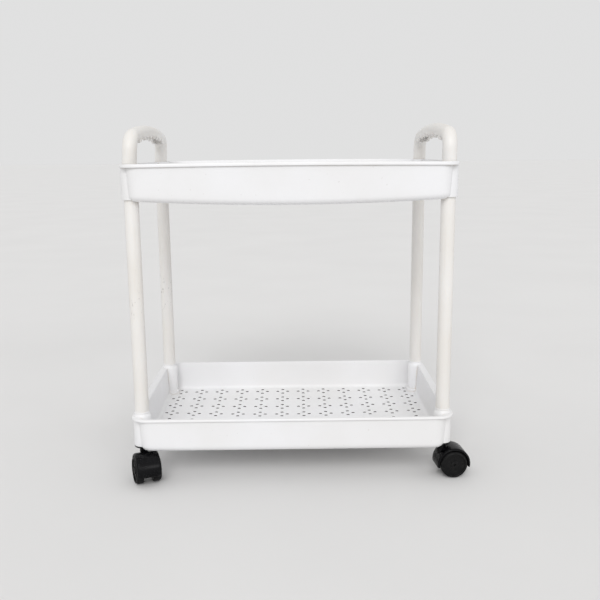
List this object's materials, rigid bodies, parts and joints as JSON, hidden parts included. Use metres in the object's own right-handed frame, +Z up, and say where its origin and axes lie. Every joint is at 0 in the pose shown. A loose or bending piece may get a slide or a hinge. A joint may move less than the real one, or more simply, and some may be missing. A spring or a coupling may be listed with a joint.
{
  "type": "rolling pantry cart",
  "caption": "Narrow utility cart with perforated plastic trays on tubular posts, arched end handles with finger grooves, and hooded twin-wheel swivel casters.",
  "frame": {"origin": "on the floor under the middle of the rectangle of four posts", "axes": "+X along the cart to its right-hand handle, +Y to the rear, +Z up from the floor"},
  "size_m": [0.4863, 0.3034, 0.4819],
  "materials": {
    "tray_plastic": "white moulded polypropylene, satin gloss",
    "tube_plastic": "cream-white moulded plastic, satin",
    "caster_plastic": "black nylon, semi-matt",
    "wheel_plastic": "black nylon, semi-matt, dusty tread",
    "steel": "zinc-plated steel"
  },
  "bodies": {
    "cart": {"lower_tray": "tray_plastic", "upper_tray": "tray_plastic", "handle_left": "tube_plastic", "handle_right": "tube_plastic", "post_front_left": "tube_plastic", "post_front_right": "tube_plastic", "post_rear_left": "tube_plastic", "post_rear_right": "tube_plastic", "socket_front_left": "caster_plastic", "socket_front_right": "caster_plastic", "socket_rear_left": "caster_plastic", "socket_rear_right": "caster_plastic"},
    "caster_front_left": {"hood_front_left": "caster_plastic", "stem_front_left": "steel", "snap_ring_front_left": "steel", "axle_front_left": "steel"},
    "wheel_front_left_a": {"wheel_front_left_a": "wheel_plastic"},
    "wheel_front_left_b": {"wheel_front_left_b": "wheel_plastic"},
    "caster_front_right": {"hood_front_right": "caster_plastic", "stem_front_right": "steel", "snap_ring_front_right": "steel", "axle_front_right": "steel"},
    "wheel_front_right_a": {"wheel_front_right_a": "wheel_plastic"},
    "wheel_front_right_b": {"wheel_front_right_b": "wheel_plastic"},
    "caster_rear_left": {"hood_rear_left": "caster_plastic", "stem_rear_left": "steel", "snap_ring_rear_left": "steel", "axle_rear_left": "steel"},
    "wheel_rear_left_a": {"wheel_rear_left_a": "wheel_plastic"},
    "wheel_rear_left_b": {"wheel_rear_left_b": "wheel_plastic"},
    "caster_rear_right": {"hood_rear_right": "caster_plastic", "stem_rear_right": "steel", "snap_ring_rear_right": "steel", "axle_rear_right": "steel"},
    "wheel_rear_right_a": {"wheel_rear_right_a": "wheel_plastic"},
    "wheel_rear_right_b": {"wheel_rear_right_b": "wheel_plastic"}
  },
  "joints": [
    {"name": "swivel_front_left", "type": "hinge", "parent": "cart", "child": "caster_front_left", "pos_m": [-0.206, -0.119, 0.045], "axis": [0, 0, 1], "continuous": true},
    {"name": "roll_front_left_a", "type": "hinge", "parent": "caster_front_left", "child": "wheel_front_left_a", "pos_m": [-0.2008, -0.13254, 0.019], "axis": [0.9336, 0.3584, 0], "continuous": true},
    {"name": "roll_front_left_b", "type": "hinge", "parent": "caster_front_left", "child": "wheel_front_left_b", "pos_m": [-0.2008, -0.13254, 0.019], "axis": [0.9336, 0.3584, 0], "continuous": true},
    {"name": "swivel_front_right", "type": "hinge", "parent": "cart", "child": "caster_front_right", "pos_m": [0.206, -0.119, 0.045], "axis": [0, 0, 1], "continuous": true},
    {"name": "roll_front_right_a", "type": "hinge", "parent": "caster_front_right", "child": "wheel_front_right_a", "pos_m": [0.22044, -0.11774, 0.019], "axis": [-0.0872, 0.9962, 0], "continuous": true},
    {"name": "roll_front_right_b", "type": "hinge", "parent": "caster_front_right", "child": "wheel_front_right_b", "pos_m": [0.22044, -0.11774, 0.019], "axis": [-0.0872, 0.9962, 0], "continuous": true},
    {"name": "swivel_rear_left", "type": "hinge", "parent": "cart", "child": "caster_rear_left", "pos_m": [-0.206, 0.119, 0.045], "axis": [0, 0, 1], "continuous": true},
    {"name": "roll_rear_left_a", "type": "hinge", "parent": "caster_rear_left", "child": "wheel_rear_left_a", "pos_m": [-0.21532, 0.10789, 0.019], "axis": [0.766, -0.6428, 0], "continuous": true},
    {"name": "roll_rear_left_b", "type": "hinge", "parent": "caster_rear_left", "child": "wheel_rear_left_b", "pos_m": [-0.21532, 0.10789, 0.019], "axis": [0.766, -0.6428, 0], "continuous": true},
    {"name": "swivel_rear_right", "type": "hinge", "parent": "cart", "child": "caster_rear_right", "pos_m": [0.206, 0.119, 0.045], "axis": [0, 0, 1], "continuous": true},
    {"name": "roll_rear_right_a", "type": "hinge", "parent": "caster_rear_right", "child": "wheel_rear_right_a", "pos_m": [0.21625, 0.10875, 0.019], "axis": [0.7071, 0.7071, 0], "continuous": true},
    {"name": "roll_rear_right_b", "type": "hinge", "parent": "caster_rear_right", "child": "wheel_rear_right_b", "pos_m": [0.21625, 0.10875, 0.019], "axis": [0.7071, 0.7071, 0], "continuous": true}
  ]
}
